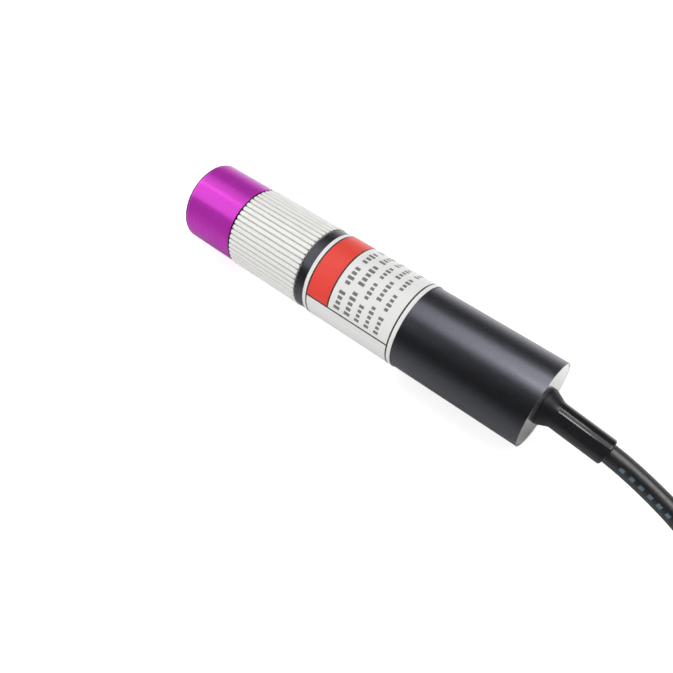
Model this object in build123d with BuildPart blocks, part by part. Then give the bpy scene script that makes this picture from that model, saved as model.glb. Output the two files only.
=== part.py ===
from build123d import *
import math
import os

# Laser diode module lying on its side: beam towards -X, cord towards +X, floor at Z = 0, sizes in mm

# Outer lengths from front to back
nose_length = 12.0
nose_groove = 0.3
ring_length = 16.7
shoulder_gap = 0.3
barrel_length = 47.1

# Outer diameters: the nose is turned to the barrel's size and the ring stands proud of both
barrel_diameter = 16.0
ring_stand = 0.15

# Clearances on the radius
thread_clearance = 0.05
seat_clearance = 0.03
press_clearance = 0.02
travel_clearance = 0.3
cord_clearance = 0.12

# Nose cap and the line lens that it holds
nose_chamfer = 0.15
nose_wall = 2.0
aperture_lip = 1.5
aperture_flare = 1.2
nose_groove_depth = 0.7
spigot_wall = 2.22
spigot_length = 4.2
spigot_end_gap = 0.3
line_lens_length = 6.4
line_roof_height = 1.8
line_roof_round = 0.5
retainer_thickness = 1.6
retainer_width = 1.3
spanner_slot_width = 0.9
spanner_slot_depth = 0.7

# Knurled focus ring
knurl_count = 50
knurl_groove_width = 0.46
knurl_groove_floor = 0.12
knurl_groove_depth = 0.26
ring_chamfer = 0.06
ring_wall = 1.4
ring_web = 2.0

# Collimating lens and its cell
cell_shoulder = 0.35
cell_length = 9.2
cell_wall = 1.07
lens_lip = 0.4
lens_edge = 1.5
lens_dome = 1.1
lens_seat_depth = 3.4
lock_ring_thickness = 1.0
lock_ring_width = 0.8
washer_thickness = 0.5
washer_width = 1.2
washer_play = 0.05

# Barrel
neck_end_gap = 1.5
neck_wall = 1.35
neck_chamfer = 0.4
barrel_wall = 1.3
barrel_rim = 0.3
barrel_front_chamfer = 0.15
barrel_rear_chamfer = 0.15
mount_step = 5.9

# Label round the barrel
label_start = 1.9
label_length = 20.0
label_thickness = 0.13
label_glue = 0.02

# Anti-backlash spring
spring_wire = 0.6
spring_inset = 0.4
spring_turns = 4.25

# Diode, its heat sink and its three leads
diode_recess = 2.2
diode_flange_rim = 0.6
diode_flange_thickness = 1.2
can_diameter = 4.4
can_clearance = 0.3
can_height = 3.2
window_diameter = 1.6
window_thickness = 0.3
lead_diameter = 0.45
lead_spread = 1.4
lead_on_board = 3.0

# Driver board and the parts on it
board_gap = 1.5
board_length = 20.5
board_thickness = 1.0
board_edge_gap = 0.15
board_end_gap = 1.9
row_margin = 0.1
station_gap = 0.75
chip_length = 4.9
chip_width = 3.9
chip_height = 1.5
chip_span = 6.0
chip_leg_pitch = 1.27
chip_leg_width = 0.4
chip_leg_thickness = 0.2
chip_shoulder = 0.8
chip_legs_a_side = 4
trimmer_size = 3.4
trimmer_height = 1.5
trimmer_rotor_diameter = 2.4
trimmer_rotor_height = 0.4
trimmer_slot = 0.5
inductor_size = 5.0
inductor_height = 2.6
inductor_round = 0.8
capacitor_length = 3.5
capacitor_width = 2.8
capacitor_height = 1.9
resistor_count = 3
resistor_pitch = 2.4
resistor_length = 1.6
resistor_width = 0.8
resistor_height = 0.45
rectifier_length = 4.3
rectifier_width = 2.6
rectifier_height = 2.1

# Rear cap
cap_flange = 2.0
cap_spigot_length = 2.5
cap_chamfer = 0.12

# Strain relief, which droops with the cord behind the rear face
relief_neck_wall = 0.68
relief_lip_height = 0.85
relief_lip_thickness = 1.2
relief_flange_width = 0.8
relief_flange_thickness = 0.5
relief_flange_round = 0.6
relief_cone_end = 2.5
relief_cone_blend = 1.2
relief_root_wall = 0.56
relief_tip_wall = 0.53
relief_length = 12.1
relief_end_round = 0.35

# Cord and its two cores
cord_diameter = 3.5
core_diameter = 1.1
core_on_board = 3.0
cord_stub = 0.6
relief_reach = 12.1
relief_drift = 0.4
relief_droop = 0.95
arc_share = 0.45

# Hank of the spare cord, two turns wide and two turns high, on its ties
hank_run = 32.0
hank_start = 80.0
hank_middle = 7.0
hank_fold = 10.5
hank_rows = 2
hank_layers = 2
hank_edge_round = 1.2
tie_width = 5.0
tie_thickness = 0.4

# Coaxial supply plug
plug_start = 131.5
plug_offset = -3.6
plug_straight = 5.5
plug_relief_length = 8.0
plug_relief_tip_diameter = 5.0
plug_relief_root_diameter = 7.0
plug_groove_width = 0.8
plug_groove_depth = 0.5
plug_groove_count = 3
plug_body_diameter = 9.5
plug_body_length = 16.0
plug_body_round = 0.8
plug_waist_depth = 0.5
plug_waist_length = 8.0
plug_barrel_diameter = 5.5
plug_barrel_wall = 0.4
plug_barrel_length = 9.5
plug_core_recess = 0.3
plug_contact_wall = 0.25
plug_pin_diameter = 2.1

# Radii and places worked out from the driving dimensions
barrel_radius = barrel_diameter / 2
nose_radius = barrel_radius
ring_radius = barrel_radius + ring_stand
neck_radius = ring_radius - ring_wall
spigot_radius = neck_radius
neck_bore_radius = neck_radius - neck_wall
cell_radius = neck_bore_radius - travel_clearance
lens_radius = cell_radius - cell_wall - seat_clearance
cell_bore_radius = lens_radius - lens_lip
bore_radius = barrel_radius - barrel_wall
label_inner_radius = barrel_radius + label_glue
label_radius = label_inner_radius + label_thickness
axis_height = max(ring_radius, label_radius)

overall_length = nose_length + nose_groove + ring_length + shoulder_gap + barrel_length
front_x = -overall_length / 2
nose_back_x = front_x + nose_length
ring_front_x = nose_back_x + nose_groove
ring_back_x = ring_front_x + ring_length
shoulder_x = ring_back_x + shoulder_gap
rear_x = shoulder_x + barrel_length

optical_axis = Axis((0, 0, axis_height), (1, 0, 0))
side_plane = Plane(origin=(0, 0, axis_height), x_dir=(1, 0, 0), z_dir=(0, -1, 0))


def cross_plane(x, y=0.0, z=axis_height):
    return Plane(origin=(x, y, z), x_dir=(0, 1, 0), z_dir=(1, 0, 0))


def turned_profile(*corners, plane=side_plane):
    with BuildSketch(plane) as profile:
        with BuildLine():
            Polyline(*corners, close=True)
        make_face()
    return profile.sketch


def spanner_slots(x, outer_radius):
    with BuildSketch(cross_plane(x)) as slots:
        Rectangle(spanner_slot_width, 2 * outer_radius + spanner_slot_width)
    return slots.sketch


def write_part(piece, name):
    piece.part.label = name
    export_step(piece.part, f"parts/{name}.step")


os.makedirs("parts", exist_ok=True)

# Nose cap: turned cap with a flared aperture, a lens pocket from behind and a threaded spigot
pocket_radius = spigot_radius - spigot_wall
line_lens_radius = pocket_radius - seat_clearance
aperture_radius = line_lens_radius - aperture_lip
groove_radius = nose_radius - nose_groove_depth
pocket_x = front_x + nose_wall
spigot_back_x = ring_front_x + spigot_length
with BuildPart() as nose_cap:
    revolve(
        turned_profile(
            (front_x, aperture_radius + aperture_flare),
            (front_x + aperture_flare, aperture_radius),
            (pocket_x, aperture_radius),
            (pocket_x, pocket_radius),
            (spigot_back_x, pocket_radius),
            (spigot_back_x, spigot_radius),
            (ring_front_x, spigot_radius),
            (ring_front_x, groove_radius),
            (nose_back_x, groove_radius),
            (nose_back_x, nose_radius),
            (front_x + nose_chamfer, nose_radius),
            (front_x, nose_radius - nose_chamfer),
        ),
        axis=optical_axis,
    )
write_part(nose_cap, "nose_cap")

# Line lens: glass rod with a rounded roof edge on the side that meets the beam
line_lens_back_x = pocket_x + line_lens_length
roof_foot_x = line_lens_back_x - line_roof_height
with BuildPart() as line_lens:
    with BuildSketch(cross_plane(pocket_x)):
        Circle(line_lens_radius)
    extrude(amount=line_lens_length)
    with BuildSketch(side_plane) as roof:
        with BuildLine():
            Polyline(
                (pocket_x, -line_lens_radius),
                (roof_foot_x, -line_lens_radius),
                (line_lens_back_x, 0),
                (roof_foot_x, line_lens_radius),
                (pocket_x, line_lens_radius),
                close=True,
            )
        make_face()
        fillet(roof.vertices().sort_by(Axis.X)[-1], radius=line_roof_round)
    extrude(amount=2 * line_lens_radius, both=True, mode=Mode.INTERSECT)
write_part(line_lens, "line_lens")

# Ring nut that holds the line lens, with two spanner slots
line_ridge_x = line_lens.part.bounding_box().max.X
retainer_bore_radius = line_lens_radius - retainer_width
with BuildPart() as line_lens_retainer:
    revolve(
        turned_profile(
            (line_ridge_x, retainer_bore_radius),
            (line_ridge_x + retainer_thickness, retainer_bore_radius),
            (line_ridge_x + retainer_thickness, line_lens_radius),
            (line_ridge_x, line_lens_radius),
        ),
        axis=optical_axis,
    )
    slot_floor_x = line_ridge_x + retainer_thickness - spanner_slot_depth
    extrude(spanner_slots(slot_floor_x, line_lens_radius), amount=spanner_slot_depth, mode=Mode.SUBTRACT)
write_part(line_lens_retainer, "line_lens_retainer")

# Focus ring: socket for the nose cap, a web that carries the lens cell, a nut thread behind it
socket_floor_x = spigot_back_x + spigot_end_gap
web_back_x = socket_floor_x + ring_web
cell_thread_radius = cell_radius - cell_shoulder
with BuildPart() as focus_ring:
    revolve(
        turned_profile(
            (ring_front_x, spigot_radius + seat_clearance),
            (socket_floor_x, spigot_radius + seat_clearance),
            (socket_floor_x, cell_thread_radius + seat_clearance),
            (web_back_x, cell_thread_radius + seat_clearance),
            (web_back_x, neck_radius + thread_clearance),
            (ring_back_x, neck_radius + thread_clearance),
            (ring_back_x, ring_radius - ring_chamfer),
            (ring_back_x - ring_chamfer, ring_radius),
            (ring_front_x + ring_chamfer, ring_radius),
            (ring_front_x, ring_radius - ring_chamfer),
        ),
        axis=optical_axis,
    )
    with BuildSketch(cross_plane(ring_front_x)):
        with PolarLocations(ring_radius, knurl_count):
            Polygon(
                (-knurl_groove_depth, -knurl_groove_floor / 2),
                (knurl_groove_depth, -knurl_groove_width + knurl_groove_floor / 2),
                (knurl_groove_depth, knurl_groove_width - knurl_groove_floor / 2),
                (-knurl_groove_depth, knurl_groove_floor / 2),
                align=None,
            )
    extrude(amount=ring_length, mode=Mode.SUBTRACT)
write_part(focus_ring, "focus_ring")

# Lens cell: threaded stub in the ring's web, flange against its back, lens seat at the diode end
cell_back_x = web_back_x + cell_length
lens_seat_x = cell_back_x - lens_seat_depth
with BuildPart() as lens_cell:
    revolve(
        turned_profile(
            (socket_floor_x, cell_bore_radius),
            (lens_seat_x, cell_bore_radius),
            (lens_seat_x, lens_radius + seat_clearance),
            (cell_back_x, lens_radius + seat_clearance),
            (cell_back_x, cell_radius),
            (web_back_x, cell_radius),
            (web_back_x, cell_thread_radius),
            (socket_floor_x, cell_thread_radius),
        ),
        axis=optical_axis,
    )
write_part(lens_cell, "lens_cell")

# Collimating lens: flat towards the diode, domed towards the beam
lens_back_x = lens_seat_x + lens_edge
dome_radius = cell_bore_radius - seat_clearance
with BuildPart() as collimating_lens:
    with BuildSketch(side_plane):
        with BuildLine():
            Polyline(
                (lens_seat_x - lens_dome, 0),
                (lens_back_x, 0),
                (lens_back_x, lens_radius),
                (lens_seat_x, lens_radius),
                (lens_seat_x, dome_radius),
            )
            dome_sagitta_radius = (dome_radius**2 + lens_dome**2) / (2 * lens_dome)
            RadiusArc(
                (lens_seat_x, dome_radius),
                (lens_seat_x - lens_dome, 0),
                -dome_sagitta_radius,
            )
        make_face()
    revolve(axis=optical_axis)
write_part(collimating_lens, "collimating_lens")

# Ring nut that locks the collimating lens in its cell
lock_ring_back_x = lens_back_x + lock_ring_thickness
lock_ring_bore_radius = lens_radius - lock_ring_width
with BuildPart() as collimator_lock_ring:
    revolve(
        turned_profile(
            (lens_back_x, lock_ring_bore_radius),
            (lock_ring_back_x, lock_ring_bore_radius),
            (lock_ring_back_x, lens_radius),
            (lens_back_x, lens_radius),
        ),
        axis=optical_axis,
    )
    slot_floor_x = lock_ring_back_x - spanner_slot_depth
    extrude(spanner_slots(slot_floor_x, lens_radius), amount=spanner_slot_depth, mode=Mode.SUBTRACT)
write_part(collimator_lock_ring, "collimator_lock_ring")

# Thrust washer between the turning lens cell and the spring
washer_front_x = cell_back_x + washer_play
washer_back_x = washer_front_x + washer_thickness
with BuildPart() as thrust_washer:
    with BuildSketch(cross_plane(washer_front_x)):
        Circle(cell_radius)
        Circle(cell_radius - washer_width, mode=Mode.SUBTRACT)
    extrude(amount=washer_thickness)
write_part(thrust_washer, "thrust_washer")

# Barrel: threaded neck in front, lens bore, wider bore behind a step, counterbore for the rear cap
mount_front_x = shoulder_x + mount_step
cap_seat_x = rear_x - cap_flange
neck_front_x = web_back_x + neck_end_gap
cap_radius = barrel_radius - barrel_rim
with BuildPart() as barrel:
    revolve(
        turned_profile(
            (neck_front_x, neck_bore_radius),
            (mount_front_x, neck_bore_radius),
            (mount_front_x, bore_radius),
            (cap_seat_x, bore_radius),
            (cap_seat_x, cap_radius + press_clearance),
            (rear_x, cap_radius + press_clearance),
            (rear_x, barrel_radius - barrel_rear_chamfer),
            (rear_x - barrel_rear_chamfer, barrel_radius),
            (shoulder_x + barrel_front_chamfer, barrel_radius),
            (shoulder_x, barrel_radius - barrel_front_chamfer),
            (shoulder_x, neck_radius),
            (neck_front_x + neck_chamfer, neck_radius),
            (neck_front_x, neck_radius - neck_chamfer),
        ),
        axis=optical_axis,
    )
write_part(barrel, "barrel")

# Label: a thin sleeve round the barrel
label_x = shoulder_x + label_start
with BuildPart() as label:
    with BuildSketch(cross_plane(label_x)):
        Circle(label_radius)
        Circle(label_inner_radius, mode=Mode.SUBTRACT)
    extrude(amount=label_length)
write_part(label, "label")

# Spring that takes up the slack of the focus thread
spring_front_x = washer_back_x + spring_wire / 2 + press_clearance
spring_height = mount_front_x - spring_front_x - spring_wire / 2 - press_clearance
spring_radius = cell_radius - spring_inset - spring_wire / 2
with BuildPart() as focus_spring:
    with BuildLine() as spring_path:
        Helix(
            pitch=spring_height / spring_turns,
            height=spring_height,
            radius=spring_radius,
            center=(spring_front_x, 0, axis_height),
            direction=(1, 0, 0),
        )
    with BuildSketch(Plane(origin=spring_path.line @ 0, z_dir=spring_path.line % 0)):
        Circle(spring_wire / 2)
    sweep(path=spring_path.line, is_frenet=True)
write_part(focus_spring, "focus_spring")

# Places of the rear cap, the cord's inner end and the board, worked out from the rear face
cap_front_x = cap_seat_x - cap_spigot_length
relief_lip_x = cap_front_x - relief_lip_thickness
cord_start_x = relief_lip_x - cord_stub
board_back_x = cord_start_x - board_end_gap
board_x = board_back_x - board_length

# Heat sink that carries the diode: it fills the bore from the step to the gap before the board
mount_back_x = board_x - board_gap
diode_seat_x = mount_back_x - diode_recess
can_radius = can_diameter / 2
beam_hole_radius = can_radius + can_clearance
flange_radius = can_radius + diode_flange_rim
flange_bore_radius = flange_radius + press_clearance
with BuildPart() as diode_mount:
    revolve(
        turned_profile(
            (mount_front_x, beam_hole_radius),
            (diode_seat_x, beam_hole_radius),
            (diode_seat_x, flange_bore_radius),
            (mount_back_x, flange_bore_radius),
            (mount_back_x, bore_radius - press_clearance),
            (mount_front_x, bore_radius - press_clearance),
        ),
        axis=optical_axis,
    )
write_part(diode_mount, "diode_mount")

# Laser diode: flanged header, cap with a window hole towards the beam
flange_back_x = diode_seat_x + diode_flange_thickness
can_front_x = diode_seat_x - can_height
window_back_x = can_front_x + window_thickness
with BuildPart() as laser_diode:
    revolve(
        turned_profile(
            (window_back_x, 0),
            (flange_back_x, 0),
            (flange_back_x, flange_radius),
            (diode_seat_x, flange_radius),
            (diode_seat_x, can_radius),
            (can_front_x, can_radius),
            (can_front_x, window_diameter / 2),
            (window_back_x, window_diameter / 2),
        ),
        axis=optical_axis,
    )
write_part(laser_diode, "laser_diode")

# Glass window in the diode's cap
with BuildPart() as diode_window:
    with BuildSketch(cross_plane(can_front_x)):
        Circle(window_diameter / 2 - press_clearance)
    extrude(amount=window_thickness)
write_part(diode_window, "diode_window")

# Three leads: two lie on the board's upper face, one on its lower face
lead_height = board_thickness / 2 + lead_diameter / 2
lead_length = board_x + lead_on_board - flange_back_x
with BuildPart() as diode_leads:
    with BuildSketch(cross_plane(flange_back_x)):
        with Locations(
            (-lead_spread / 2, lead_height),
            (lead_spread / 2, lead_height),
            (0, -lead_height),
        ):
            Circle(lead_diameter / 2)
    extrude(amount=lead_length)
write_part(diode_leads, "diode_leads")


def bore_half_width(height):
    return math.sqrt((bore_radius - board_edge_gap) ** 2 - height**2)


# Driver board across the barrel's bore
board_width = 2 * bore_half_width(board_thickness / 2)
board_middle_x = board_x + board_length / 2
board_top = Plane.XY.offset(axis_height + board_thickness / 2)
board_underside = Plane(
    origin=(0, 0, axis_height - board_thickness / 2), x_dir=(1, 0, 0), z_dir=(0, 0, -1)
)
with BuildPart() as driver_board:
    with BuildSketch(Plane.XY.offset(axis_height - board_thickness / 2)):
        with Locations((board_middle_x, 0)):
            Rectangle(board_length, board_width)
    extrude(amount=board_thickness)
write_part(driver_board, "driver_board")

# Two stations along the board, midway between the diode's leads and the cord's cores
core_start_x = board_back_x - core_on_board
stations_length = chip_length + station_gap + inductor_size
stations_x = (board_x + lead_on_board + core_start_x - stations_length) / 2
first_station = stations_x + chip_length / 2
second_station = stations_x + stations_length - inductor_size / 2


# Each part stands as far out on the board as the bore lets its height stand
def row_offset(width, height):
    return bore_half_width(board_thickness / 2 + height) - row_margin - width / 2


chip_row = -row_offset(chip_span, chip_height)
capacitor_row = row_offset(capacitor_width, capacitor_height)
choke_row = -row_offset(inductor_size, inductor_height)
trimmer_row = row_offset(trimmer_size, trimmer_height + trimmer_rotor_height)

# Driver chip with gull-wing legs
with BuildPart() as driver_chip:
    with BuildSketch(board_top):
        with Locations((first_station, chip_row)):
            Rectangle(chip_length, chip_width)
    extrude(amount=chip_height)
    with BuildSketch(cross_plane(first_station, chip_row, axis_height + board_thickness / 2)) as legs:
        with BuildLine():
            Polyline(
                (-chip_span / 2, 0),
                (-chip_span / 2, chip_leg_thickness),
                (-chip_width / 2 - 2 * chip_leg_thickness, chip_leg_thickness),
                (-chip_width / 2 - chip_leg_thickness, chip_shoulder),
                (chip_width / 2 + chip_leg_thickness, chip_shoulder),
                (chip_width / 2 + 2 * chip_leg_thickness, chip_leg_thickness),
                (chip_span / 2, chip_leg_thickness),
                (chip_span / 2, 0),
                close=True,
            )
        make_face()
    first_leg = -chip_leg_pitch * (chip_legs_a_side - 1) / 2
    for leg in range(chip_legs_a_side):
        leg_face = legs.sketch.moved(Location((first_leg + leg * chip_leg_pitch, 0, 0)))
        extrude(leg_face, amount=chip_leg_width / 2, both=True)
write_part(driver_chip, "driver_chip")

# Trimmer that sets the diode's current, with a slotted rotor
with BuildPart() as current_trimmer:
    with BuildSketch(board_top):
        with Locations((second_station, trimmer_row)):
            Rectangle(trimmer_size, trimmer_size)
    extrude(amount=trimmer_height)
    with BuildSketch(board_top.offset(trimmer_height)):
        with Locations((second_station, trimmer_row)):
            Circle(trimmer_rotor_diameter / 2)
            Rectangle(trimmer_rotor_diameter, trimmer_slot, mode=Mode.SUBTRACT)
    extrude(amount=trimmer_rotor_height)
write_part(current_trimmer, "current_trimmer")

# Choke and reservoir capacitor
with BuildPart() as choke:
    with BuildSketch(board_top):
        with Locations((second_station, choke_row)):
            RectangleRounded(inductor_size, inductor_size, inductor_round)
    extrude(amount=inductor_height)
write_part(choke, "choke")

with BuildPart() as capacitor:
    with BuildSketch(board_top):
        with Locations((first_station, capacitor_row)):
            Rectangle(capacitor_length, capacitor_width)
    extrude(amount=capacitor_height)
write_part(capacitor, "capacitor")

# Chip resistors in a row across the underside
with BuildPart() as chip_resistors:
    with BuildSketch(board_underside):
        with Locations((first_station, 0)):
            with GridLocations(resistor_length, resistor_pitch, 1, resistor_count):
                Rectangle(resistor_length, resistor_width)
    extrude(amount=resistor_height)
write_part(chip_resistors, "chip_resistors")

# Rectifier that guards against a reversed supply
with BuildPart() as rectifier:
    with BuildSketch(board_underside):
        with Locations((second_station, 0)):
            Rectangle(rectifier_length, rectifier_width)
    extrude(amount=rectifier_height)
write_part(rectifier, "rectifier")

# Cord route from inside the barrel, through the strain relief, down to the floor and into the hank
cord_radius = cord_diameter / 2
hank_floor = tie_thickness
hank_outer_fold = hank_fold + (hank_rows - 1) * cord_diameter
near_run_y = hank_middle - hank_outer_fold
first_layer_z = hank_floor + cord_radius
second_layer_z = first_layer_z + cord_diameter
cord_start = (cord_start_x, 0, axis_height)
cord_exit = (rear_x, 0, axis_height)
relief_aim = (rear_x + relief_reach, -relief_drift, axis_height - relief_droop)
lead_route = [
    cord_start,
    cord_exit,
    relief_aim,
    (57.8, -0.3, 4.65),
    (65.2, -1.2, 2.35),
    (72.5, -4.6, 1.85),
    (79.6, -7.2, 2.05),
    (86.5, near_run_y, first_layer_z),
]
plug_axis_z = plug_body_diameter / 2
tail_route = [
    (106.0, near_run_y, second_layer_z),
    (112.5, near_run_y, second_layer_z),
    (119.0, -5.2, 6.0),
    (plug_start - plug_straight, plug_offset, plug_axis_z),
    (plug_start, plug_offset, plug_axis_z),
]


def corner_radii(route):
    points = [Vector(*point) for point in route]
    radii = []
    for before, corner, after in zip(points, points[1:], points[2:]):
        turn = math.radians((corner - before).get_angle(after - corner))
        shorter_run = min((corner - before).length, (after - corner).length)
        radii.append(arc_share * shorter_run / math.tan(turn / 2))
    return radii


lead_radii = corner_radii(lead_route)
tail_radii = corner_radii(tail_route)
print("cord radii:", [round(radius, 1) for radius in lead_radii + tail_radii])

# Two cores of the cord, one on each face of the board
core_height = board_thickness / 2 + core_diameter / 2
core_length = cord_start_x - core_start_x
with BuildPart() as positive_core:
    with BuildSketch(cross_plane(core_start_x)):
        with Locations((0, core_height)):
            Circle(core_diameter / 2)
    extrude(amount=core_length)
write_part(positive_core, "positive_core")

with BuildPart() as negative_core:
    with BuildSketch(cross_plane(core_start_x)):
        with Locations((0, -core_height)):
            Circle(core_diameter / 2)
    extrude(amount=core_length)
write_part(negative_core, "negative_core")

# Rear cap: flange in the barrel's counterbore, spigot in its bore, hole for the strain relief
relief_bore_radius = cord_radius + cord_clearance
relief_neck_radius = relief_bore_radius + relief_neck_wall
relief_hole_radius = relief_neck_radius + seat_clearance
with BuildPart() as rear_cap:
    revolve(
        turned_profile(
            (cap_front_x, relief_hole_radius),
            (rear_x, relief_hole_radius),
            (rear_x, cap_radius - cap_chamfer),
            (rear_x - cap_chamfer, cap_radius),
            (cap_seat_x, cap_radius),
            (cap_seat_x, bore_radius - press_clearance),
            (cap_front_x, bore_radius - press_clearance),
        ),
        axis=optical_axis,
    )
write_part(rear_cap, "rear_cap")

# Strain relief: lip and neck through the cap, flared foot on its face, tapered sleeve along the cord
relief_direction = (Vector(*relief_aim) - Vector(*cord_exit)).normalized()
relief_side = relief_direction.cross(Vector(0, 0, 1)).normalized()
relief_plane = Plane(origin=cord_exit, x_dir=relief_direction, z_dir=relief_side)
relief_axis = Axis(cord_exit, relief_direction)
relief_flange_radius = relief_neck_radius + relief_flange_width
relief_tip_radius = relief_bore_radius + relief_tip_wall
with BuildPart() as strain_relief:
    with BuildSketch(relief_plane):
        with BuildLine():
            FilletPolyline(
                (-relief_flange_thickness, relief_flange_radius),
                (relief_flange_thickness, relief_flange_radius),
                (relief_cone_end, relief_bore_radius + relief_root_wall),
                (relief_length, relief_tip_radius),
                (relief_length, 0),
                radius=[relief_flange_round, relief_cone_blend, relief_end_round],
            )
            Polyline(
                (relief_length, 0),
                (-relief_flange_thickness, 0),
                (-relief_flange_thickness, relief_flange_radius),
            )
        make_face()
    revolve(axis=relief_axis)
    split(bisect_by=cross_plane(rear_x), keep=Keep.TOP)
    with BuildSketch(cross_plane(cap_front_x)):
        Circle(relief_neck_radius)
    extrude(amount=rear_x - cap_front_x)
    with BuildSketch(cross_plane(relief_lip_x)):
        Circle(relief_neck_radius + relief_lip_height)
    extrude(amount=relief_lip_thickness)
    with BuildLine() as bore_path:
        FilletPolyline(*lead_route[:4], radius=lead_radii[:2])
    with BuildSketch(cross_plane(cord_start_x)):
        Circle(relief_bore_radius)
    sweep(path=bore_path.line, mode=Mode.SUBTRACT)
write_part(strain_relief, "strain_relief")

# Cord from the barrel to the hank
with BuildPart() as cord_lead:
    with BuildLine() as lead_path:
        FilletPolyline(*lead_route, radius=lead_radii)
    with BuildSketch(Plane(origin=lead_path.line @ 0, z_dir=lead_path.line % 0)):
        Circle(cord_radius)
    sweep(path=lead_path.line)
write_part(cord_lead, "cord_lead")

# Hank: the outer form of the folded turns
hank_width = hank_rows * cord_diameter
hank_height = hank_layers * cord_diameter
hank_inner = hank_fold - cord_radius
hank_outer = hank_inner + hank_width
hank_centre_x = hank_start + hank_run / 2
with BuildPart() as cord_hank:
    with BuildSketch(Plane.XY.offset(hank_floor)):
        with Locations((hank_centre_x, hank_middle)):
            SlotCenterToCenter(hank_run, 2 * hank_outer)
            SlotCenterToCenter(hank_run, 2 * hank_inner, mode=Mode.SUBTRACT)
    extrude(amount=hank_height)
    level_edges = cord_hank.edges().group_by(Axis.Z)
    fillet(level_edges[0] + level_edges[-1], radius=hank_edge_round)
write_part(cord_hank, "cord_hank")

# Two ties, one round each side of the hank
tie_y = hank_inner + hank_width / 2
with BuildPart() as hank_ties:
    with BuildSketch(cross_plane(hank_centre_x - tie_width / 2, hank_middle, hank_floor + hank_height / 2)):
        with Locations((-tie_y, 0), (tie_y, 0)):
            RectangleRounded(
                hank_width + 2 * tie_thickness,
                hank_height + 2 * tie_thickness,
                hank_edge_round + tie_thickness,
            )
            RectangleRounded(hank_width, hank_height, hank_edge_round, mode=Mode.SUBTRACT)
    extrude(amount=tie_width)
write_part(hank_ties, "hank_ties")

# Cord from the hank to the plug
with BuildPart() as cord_tail:
    with BuildLine() as tail_path:
        FilletPolyline(*tail_route, radius=tail_radii)
    with BuildSketch(Plane(origin=tail_path.line @ 0, z_dir=tail_path.line % 0)):
        Circle(cord_radius)
    sweep(path=tail_path.line)
write_part(cord_tail, "cord_tail")

for name, piece, path in (("lead", cord_lead, lead_path), ("tail", cord_tail, tail_path)):
    length = path.wire().length
    expected = math.pi * cord_radius**2 * length
    print(name, "length", round(length, 1), "volume ratio", round(piece.part.volume / expected, 4))

# Plug: moulded grip with a grooved relief, metal sleeve, insulator and inner contact
plug_axis = Axis((plug_start, plug_offset, plug_axis_z), (1, 0, 0))
plug_plane = Plane(origin=(plug_start, plug_offset, plug_axis_z), x_dir=(1, 0, 0), z_dir=(0, -1, 0))
plug_grip_end = plug_relief_length + plug_body_length
plug_body_radius = plug_body_diameter / 2
plug_barrel_radius = plug_barrel_diameter / 2
plug_core_radius = plug_barrel_radius - plug_barrel_wall
plug_contact_radius = plug_pin_diameter / 2 + plug_contact_wall
waist_start = plug_relief_length + (plug_body_length - plug_waist_length) / 2
waist_radius = plug_body_radius - plug_waist_depth
with BuildPart() as plug_body:
    revolve(
        turned_profile(
            (0, 0),
            (0, plug_relief_tip_diameter / 2),
            (plug_relief_length, plug_relief_root_diameter / 2),
            (plug_relief_length, plug_body_radius - plug_body_round),
            (plug_relief_length + plug_body_round, plug_body_radius),
            (waist_start, plug_body_radius),
            (waist_start + plug_body_round, waist_radius),
            (waist_start + plug_waist_length - plug_body_round, waist_radius),
            (waist_start + plug_waist_length, plug_body_radius),
            (plug_grip_end - plug_body_round, plug_body_radius),
            (plug_grip_end, plug_body_radius - plug_body_round),
            (plug_grip_end, 0),
            plane=plug_plane,
        ),
        axis=plug_axis,
    )
    groove_pitch = plug_relief_length / (plug_groove_count + 1)
    relief_taper = (plug_relief_root_diameter - plug_relief_tip_diameter) / plug_relief_length
    for groove in range(plug_groove_count):
        groove_middle = groove_pitch * (groove + 1)
        groove_x = plug_start + groove_middle - plug_groove_width / 2
        groove_floor = (plug_relief_tip_diameter + relief_taper * groove_middle) / 2 - plug_groove_depth
        with BuildSketch(cross_plane(groove_x, plug_offset, plug_axis_z)):
            Circle(plug_body_radius)
            Circle(groove_floor, mode=Mode.SUBTRACT)
        extrude(amount=plug_groove_width, mode=Mode.SUBTRACT)
write_part(plug_body, "plug_body")

with BuildPart() as plug_barrel:
    with BuildSketch(cross_plane(plug_start + plug_grip_end, plug_offset, plug_axis_z)):
        Circle(plug_barrel_radius)
        Circle(plug_core_radius, mode=Mode.SUBTRACT)
    extrude(amount=plug_barrel_length)
write_part(plug_barrel, "plug_barrel")

with BuildPart() as plug_insulator:
    with BuildSketch(cross_plane(plug_start + plug_grip_end, plug_offset, plug_axis_z)):
        Circle(plug_core_radius - press_clearance)
        Circle(plug_contact_radius + press_clearance, mode=Mode.SUBTRACT)
    extrude(amount=plug_barrel_length - plug_core_recess)
write_part(plug_insulator, "plug_insulator")

with BuildPart() as plug_contact:
    with BuildSketch(cross_plane(plug_start + plug_grip_end, plug_offset, plug_axis_z)):
        Circle(plug_contact_radius)
        Circle(plug_pin_diameter / 2, mode=Mode.SUBTRACT)
    extrude(amount=plug_barrel_length - 2 * plug_core_recess)
write_part(plug_contact, "plug_contact")

print("overall length", round(overall_length, 2), "axis height", round(axis_height, 3))
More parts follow.
